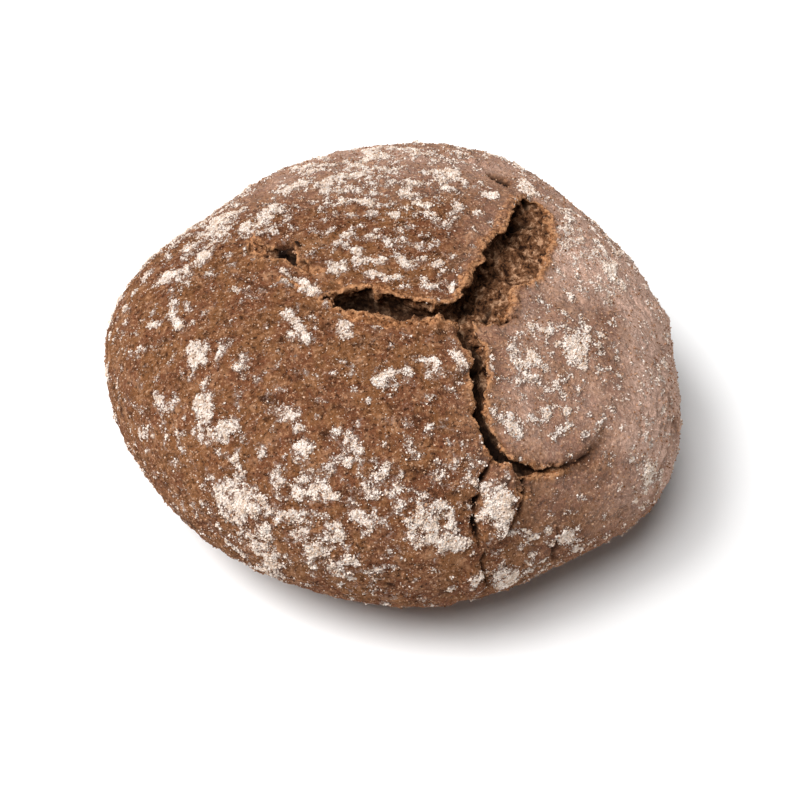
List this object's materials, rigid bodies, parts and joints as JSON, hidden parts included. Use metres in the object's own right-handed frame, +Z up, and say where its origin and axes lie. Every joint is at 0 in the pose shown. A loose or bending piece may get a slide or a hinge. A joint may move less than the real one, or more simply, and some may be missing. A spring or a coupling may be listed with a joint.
{
  "type": "rye bread loaf",
  "caption": "Round dark rye loaf baked on the oven floor: a domed crust with flour patches, torn open in three arms that meet near the top, standing on a flat base.",
  "frame": {"origin": "middle of the loaf's box, at the level of its flat base", "axes": "+Z up, out of the torn top; -Y towards the side that the south arm of the tear runs down, which is the side that faces the viewer; +X to that viewer's right"},
  "size_m": [0.1825, 0.1891, 0.0886],
  "materials": {
    "rye_crust": null
  },
  "bodies": {
    "root": {"loaf": "rye_crust"}
  },
  "joints": []
}
